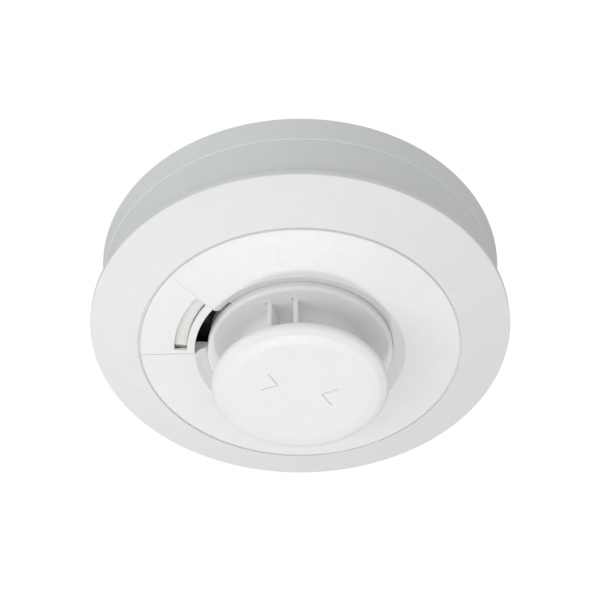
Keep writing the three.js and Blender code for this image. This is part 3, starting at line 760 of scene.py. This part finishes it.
def segment_mesh(edge=0.14):
    """Rows run round the section: wall, rounded edge, face, rounded edge, slot wall and back. A face row
    is (1 - share) x outer edge + share x slot edge, on the height of the disc's face at its radius."""
    top = FACE_Z + WALL
    outline = (WEDGE_R + 0.1, DISC_R, WEDGE_HALF_INNER, WEDGE_HALF_OUTER, WEDGE)
    slot = (LENS_INNER_R, LENS_OUTER_R, SLOT_HALF_INNER, SLOT_HALF_OUTER, SLOT)
    bow = np.linspace(0, np.pi / 2, 5)
    rows, heights = [], []
    for b in bow[::-1]:
        rows.append(four_sided(*outline, HAIRLINE + edge * (1 - np.cos(b))))
        heights.append(front(rows[-1][:, 1]) + edge * (1 - np.sin(b)))
    rows, heights = rows[::-1], heights[::-1]
    outer, inner = four_sided(*outline, HAIRLINE + edge), four_sided(*slot, -edge)
    for share in np.concatenate([[0.01], np.linspace(0.04, 0.96, 14), [0.99]]):
        rows.append((1 - share) * outer + share * inner)
        heights.append(front(rows[-1][:, 1]))
    for b in bow[::-1]:
        rows.append(four_sided(*slot, -edge * (1 - np.cos(b))))
        heights.append(front(rows[-1][:, 1]) + edge * (1 - np.sin(b)))
    rows += [four_sided(*slot, 0), four_sided(*outline, HAIRLINE)]
    heights += [front(rows[-2][:, 1]) + RIM, np.full(len(outer), top)]
    azimuth, radius = np.radians(np.array(rows)[..., 0]), np.array(rows)[..., 1]
    grid = np.stack([radius * np.cos(azimuth), radius * np.sin(azimuth), np.array(heights)], -1)
    return mesh_of("indicator_panel", grid, quads(*grid.shape[:2]))


place(segment_mesh(), WHITE, "head", "white_moulding", "indicator_segment")

# %% [markdown]
# ## Light guide
# A frosted arc fills the slot about a millimetre below the surface and leads the light of two diodes on
# the board out to the front. Its two stalks reach back to them.

# %% Light guide
LENS_MIDDLE, LENS_HALF = SLOT + 0.95, 15.95
LENS_DEPTH = 1.0  # its face below the surface of the panel
LENS_TOP_Z = FACE_Z + 2.9
STALK_R, STALK_AT, STALK_TOP_Z = 1.7, 32.7, -23.5
STALK_ANGLES = (WEDGE - 8, WEDGE + 8)


def lens_mesh():
    """An arc block with a lower step at one end, a flange behind and two stalks, joined."""
    inner, outer = LENS_INNER_R, LENS_OUTER_R
    face = front((inner + outer) / 2) + LENS_DEPTH
    span = (LENS_MIDDLE, LENS_HALF)
    arc = arc_block("light_guide", inner + 0.01, outer - 0.01, *span, face, LENS_TOP_Z, 0.16, 48)
    step = arc_block("step", inner - 0.8, outer + 0.8, SLOT - 16, 2, face + 0.9, LENS_TOP_Z, 0.1)
    flange = arc_block("flange", inner - 1, outer + 1, *span, FACE_Z + 2, LENS_TOP_Z, 0.1)
    centres = [polar(STALK_AT, at) for at in STALK_ANGLES]
    stalks = [pin("stalk", STALK_R, centre, LENS_TOP_Z - 0.5, STALK_TOP_Z) for centre in centres]
    return combined(arc, [step, flange, *stalks], "UNION")


place(lens_mesh(), FROSTED, "head", "frosted_plastic", "indicator_lens")

# %% [markdown]
# ## Turret
# The turret stands in the channel: a rounded ridge, a smooth underside and a neck. Six thin ribs run from
# the neck out to the ring and carry the cap, and three windows in the neck let air reach the bead.

# %% Turret
TURRET_TOP_Z = -24.7
TURRET_FLOOR_TOP_Z, TURRET_FLOOR_Z = -29.2, -31.0  # the floor that holds the bead's bush
BUSH_HOLE_R = 3.2
WINDOW_HALF, WINDOW_LOW_Z, WINDOW_TOP_Z = 32, -41.8, -36
CORE_MARK_R, CORE_MARK_AT, CORE_MARK_ASIDE = 0.3, RIB_R + 0.25, 2.2


def turret_shell():
    """The turret's turned outline, from the tray behind the disc to the neck's end at the cap."""
    return lathe("turret", [
        (TURRET_R - WALL, TURRET_TOP_Z, 0.2),
        (TURRET_R - 0.5, TURRET_TOP_Z, 0.2),
        (TURRET_R - 0.5, CHANNEL_Z + 1.5, 0.3),
        (TURRET_R + 0.05, CHANNEL_Z + 0.9, 0.2),
        (TURRET_R + 0.05, CHANNEL_Z - 0.5, 0.4),
        (TURRET_R - 0.15, RING_Z, 1.0),
        (NECK_R, RING_Z + 0.25, 3.4),
        (NECK_R, NECK_LOW_Z, 0.15),
        (NECK_BORE_R, NECK_LOW_Z, 0.15),
        (NECK_BORE_R, TURRET_FLOOR_Z, 0.3),
        (BUSH_HOLE_R, TURRET_FLOOR_Z, 0.2),
        (BUSH_HOLE_R, TURRET_FLOOR_TOP_Z, 0.2),
        (TURRET_R - WALL, TURRET_FLOOR_TOP_Z, 0.4),
    ], longest=1.0)


def rib(azimuth):
    """A thin blade with a rounded outer edge: a long rounded section carried down from ring to cap."""
    inner, half = NECK_R - 0.6, RIB_WIDTH / 2
    corners = [(inner, -half, 0), (RIB_R, -half, 0.3), (RIB_R, half, 0.3), (inner, half, 0)]
    section = turned(without_repeats(rounded(corners, 5)), azimuth)
    levels = np.linspace(RING_Z + 0.8, NECK_LOW_Z, 9)
    return stacked("rib", [section] * len(levels), levels)


def window(azimuth):
    """A block that cuts one window through the neck."""
    return arc_block("window", NECK_BORE_R - 1, NECK_R + 1, azimuth, WINDOW_HALF, WINDOW_LOW_Z, WINDOW_TOP_Z)


def core_mark(azimuth):
    """A pin that cuts the small round mark beside a rib's outer edge."""
    centre = polar(CORE_MARK_AT, azimuth - CORE_MARK_ASIDE)
    return pin("core mark", CORE_MARK_R, centre, RING_Z - 1, RING_Z + 1, 16)


turret = combined(turret_shell(), [window(at) for at in WINDOW_ANGLES], "DIFFERENCE")
turret = combined(turret, [rib(at) for at in RIB_ANGLES], "UNION")
turret = combined(turret, [core_mark(at) for at in RIB_ANGLES], "DIFFERENCE")
turret.name = "turret_moulding"
place(turret, WHITE, "head", "white_moulding", "sensor_turret")

# %% [markdown]
# ## Cap
# The cap shields the sensing element and sends warm air past it. Its rim is fully rounded, a faint ring
# marks where the rounding ends, and two shallow chevrons on its face point at one another.

# %% Cap
CHEVRON = {"apex": 6.2, "arm": 4.7, "width": 0.6, "floor": 0.25, "depth": 0.4, "angle": 41, "shift": -1.2}
CHEVRON_ANGLES = (197, 17)


def cap_shell():
    """The cap's outline turned about the axis, from the middle of its face round the rim to its spigot."""
    spigot_r, spigot_z = NECK_BORE_R - 0.3, CAP_BACK_Z + 1.2
    return lathe_from_axis("cap", [
        (0, CAP_Z, 0),
        (18.7, CAP_Z, 4.0),
        (21.6, CAP_Z + 0.24, 4.0),
        (CAP_R - 0.75, CAP_Z + 0.95, 1.6),
        (CAP_R, CAP_Z + 1.9, 1.0),
        (CAP_R - 0.2, CAP_BACK_Z - 0.4, 0.5),
        (CAP_R - 0.85, CAP_BACK_Z, 0.4),
        (spigot_r, CAP_BACK_Z, 0.2),
        (spigot_r, spigot_z, 0.3),
        (0, spigot_z, 0),
    ], longest=1.2)


def stroke(side, azimuth):
    """One arm of a chevron: a capsule outline, narrower towards its floor, sunk into the face."""
    a = np.linspace(-np.pi / 2, np.pi / 2, 9)
    slope = (CHEVRON["width"] - CHEVRON["floor"]) / CHEVRON["depth"]
    levels = (-0.5, CHEVRON["depth"])
    loops = []
    for z in levels:
        half = (CHEVRON["floor"] + slope * (CHEVRON["depth"] - z)) / 2
        end = np.stack([CHEVRON["arm"] + half * np.cos(a), half * np.sin(a)], 1)
        start = np.stack([-half * np.cos(a), -half * np.sin(a)], 1)
        arm = turned(np.concatenate([end, start]), side * CHEVRON["angle"]) + (CHEVRON["apex"], 0)
        loops.append(turned(arm, azimuth) + (0, CHEVRON["shift"]))
    return stacked("stroke", loops, [CAP_Z + z for z in levels])


strokes = [stroke(side, at) for at in CHEVRON_ANGLES for side in (-1, 1)]
cap = combined(cap_shell(), strokes, "DIFFERENCE")
cap.name = "cap_moulding"
place(cap, CAP_WHITE, "head", "white_moulding", "deflector_cap")

# %% [markdown]
# ## Finishes for the frame's own pieces
# The pieces inside are the right shape already, so they keep their frame meshes and get a finish each.

# %% Frame pieces
NODE_FINISH = {
    "terminal_strip": BRASS, "clamp_plate": ZINC, "terminal_screw": ZINC, "case_screw": ZINC,
    "board_screw": ZINC, "contact_blade": TIN, "thermistor_lead": TIN, "circuit_board": BOARD,
    "controller_chip": PACKAGE, "bridge_rectifier": PACKAGE, "voltage_regulator": PACKAGE,
    "smoothing_capacitor": SLEEVE, "indicator_led": FROSTED, "inner_shroud": BLACK, "rear_cover": SHADED_WALL_WHITE,
    "thermistor_bush": RUBBER, "thermistor_bead": EPOXY,
}
for node_name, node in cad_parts.items():
    finish = next((m for start, m in NODE_FINISH.items() if node_name.startswith(start)), None)
    if finish is not None and not node.hide_render:
        node.data.materials.clear()
        node.data.materials.append(finish)
        print(node_name, "->", finish.name)

# %% [markdown]
# ## Studio
# The detector hangs in a white studio above a pale floor. The floor is far enough down to leave room
# for a camera below the detector. Most light is soft and comes from all round; one large lamp below and
# to the left shapes the turret, a small weak one at the far side makes the cap throw a crisp shadow, and
# one above lights the back.

# %% Floor
FLOOR_Z, FLOOR_R = -0.62, 3.0
bpy.ops.mesh.primitive_circle_add(vertices=128, radius=FLOOR_R, fill_type="NGON", location=(0, 0, FLOOR_Z))
floor = bpy.context.object
floor.name = "floor"
floor_material, nodes, links, shader = new_material("pale floor")
shader.inputs["Base Color"].default_value = (0.88, 0.88, 0.88, 1)
shader.inputs["Roughness"].default_value = 0.8
shader.inputs["Emission Color"].default_value = (1, 1, 1, 1)
shader.inputs["Emission Strength"].default_value = 0.35
floor.data.materials.append(floor_material)
# The floor shows to the camera but doesn't block the light from below.
floor.visible_diffuse = floor.visible_glossy = floor.visible_shadow = False

# %% World light
AMBIENT = 0.55  # strength of the light from a direction square to LEAN
LEAN = Vector((-0.12, -0.30, -0.62))  # the studio is brighter to the left, to the front and from below
DIMMEST = 0.42  # the least strength, from directions opposite to LEAN
world = bpy.data.worlds.new("studio")
bpy.context.scene.world = world
world.use_nodes = True
nodes, links = world.node_tree.nodes, world.node_tree.links
nodes.clear()
output = nodes.new("ShaderNodeOutputWorld")
mix = nodes.new("ShaderNodeMixShader")
soft = nodes.new("ShaderNodeBackground")
soft.inputs["Color"].default_value = (1, 1, 1, 1)
backdrop = nodes.new("ShaderNodeBackground")
backdrop.inputs["Color"].default_value = (1, 1, 1, 1)
backdrop.inputs["Strength"].default_value = 1.0
direction = nodes.new("ShaderNodeTexCoord")
lean = nodes.new("ShaderNodeVectorMath")
lean.operation = "DOT_PRODUCT"
lean.inputs[1].default_value = LEAN
strength = nodes.new("ShaderNodeMath")
strength.operation = "MULTIPLY_ADD"
strength.inputs[1].default_value = AMBIENT
strength.inputs[2].default_value = AMBIENT
at_least = nodes.new("ShaderNodeMath")
at_least.operation = "MAXIMUM"
at_least.inputs[1].default_value = DIMMEST
path = nodes.new("ShaderNodeLightPath")
links.new(direction.outputs["Generated"], lean.inputs[0])
links.new(lean.outputs["Value"], strength.inputs[0])
links.new(strength.outputs["Value"], at_least.inputs[0])
links.new(at_least.outputs["Value"], soft.inputs["Strength"])
links.new(path.outputs["Is Camera Ray"], mix.inputs["Fac"])
links.new(soft.outputs["Background"], mix.inputs[1])
links.new(backdrop.outputs["Background"], mix.inputs[2])
links.new(mix.outputs["Shader"], output.inputs["Surface"])

# %% Lamps
LAMP_AIM = Vector((0, 0, -0.03))


def lamp(name, place_at, size, power):
    """A square area lamp at a place in metres, turned to aim at the detector."""
    light = bpy.data.lights.new(name, "AREA")
    light.size, light.energy = size, power
    stand = bpy.data.objects.new(name, light)
    stand.location = place_at
    way = LAMP_AIM - Vector(place_at)
    stand.rotation_euler = way.to_track_quat("-Z", "Y").to_euler()
    bpy.context.scene.collection.objects.link(stand)


lamp("key", (-0.83, -0.39, -0.64), 0.5, 2.1)
lamp("far lamp", (-0.044, 0.517, -1.0), 0.085, 2.3)
lamp("back lamp", (0.1, 0.2, 1.1), 0.6, 4.0)
bpy.context.scene.view_settings.view_transform = "Standard"

# %% [markdown]
# ## Camera
# The camera looks up at the detector from 450 mm away, 46.4 degrees below the horizontal, with a long
# lens that keeps the circles nearly true ellipses.

# %% Camera
CAMERA_DISTANCE = 0.450
CAMERA_BELOW = np.radians(46.401)
CAMERA_TARGET = Vector((-0.00005, 0, -0.010276))
FOCAL_LENGTH, SENSOR_WIDTH = 94.19, 36.0  # mm
camera = bpy.data.objects.new("camera", bpy.data.cameras.new("camera"))
camera.data.lens = FOCAL_LENGTH
camera.data.sensor_width = SENSOR_WIDTH
back = Vector((0, -np.cos(CAMERA_BELOW), -np.sin(CAMERA_BELOW)))
camera.location = CAMERA_TARGET + back * CAMERA_DISTANCE
camera.rotation_mode = "QUATERNION"
camera.rotation_quaternion = (-back).to_track_quat("-Z", "Y")
bpy.context.scene.collection.objects.link(camera)
bpy.context.scene.camera = camera
print("camera at", [round(v / MM, 1) for v in camera.location], "mm")
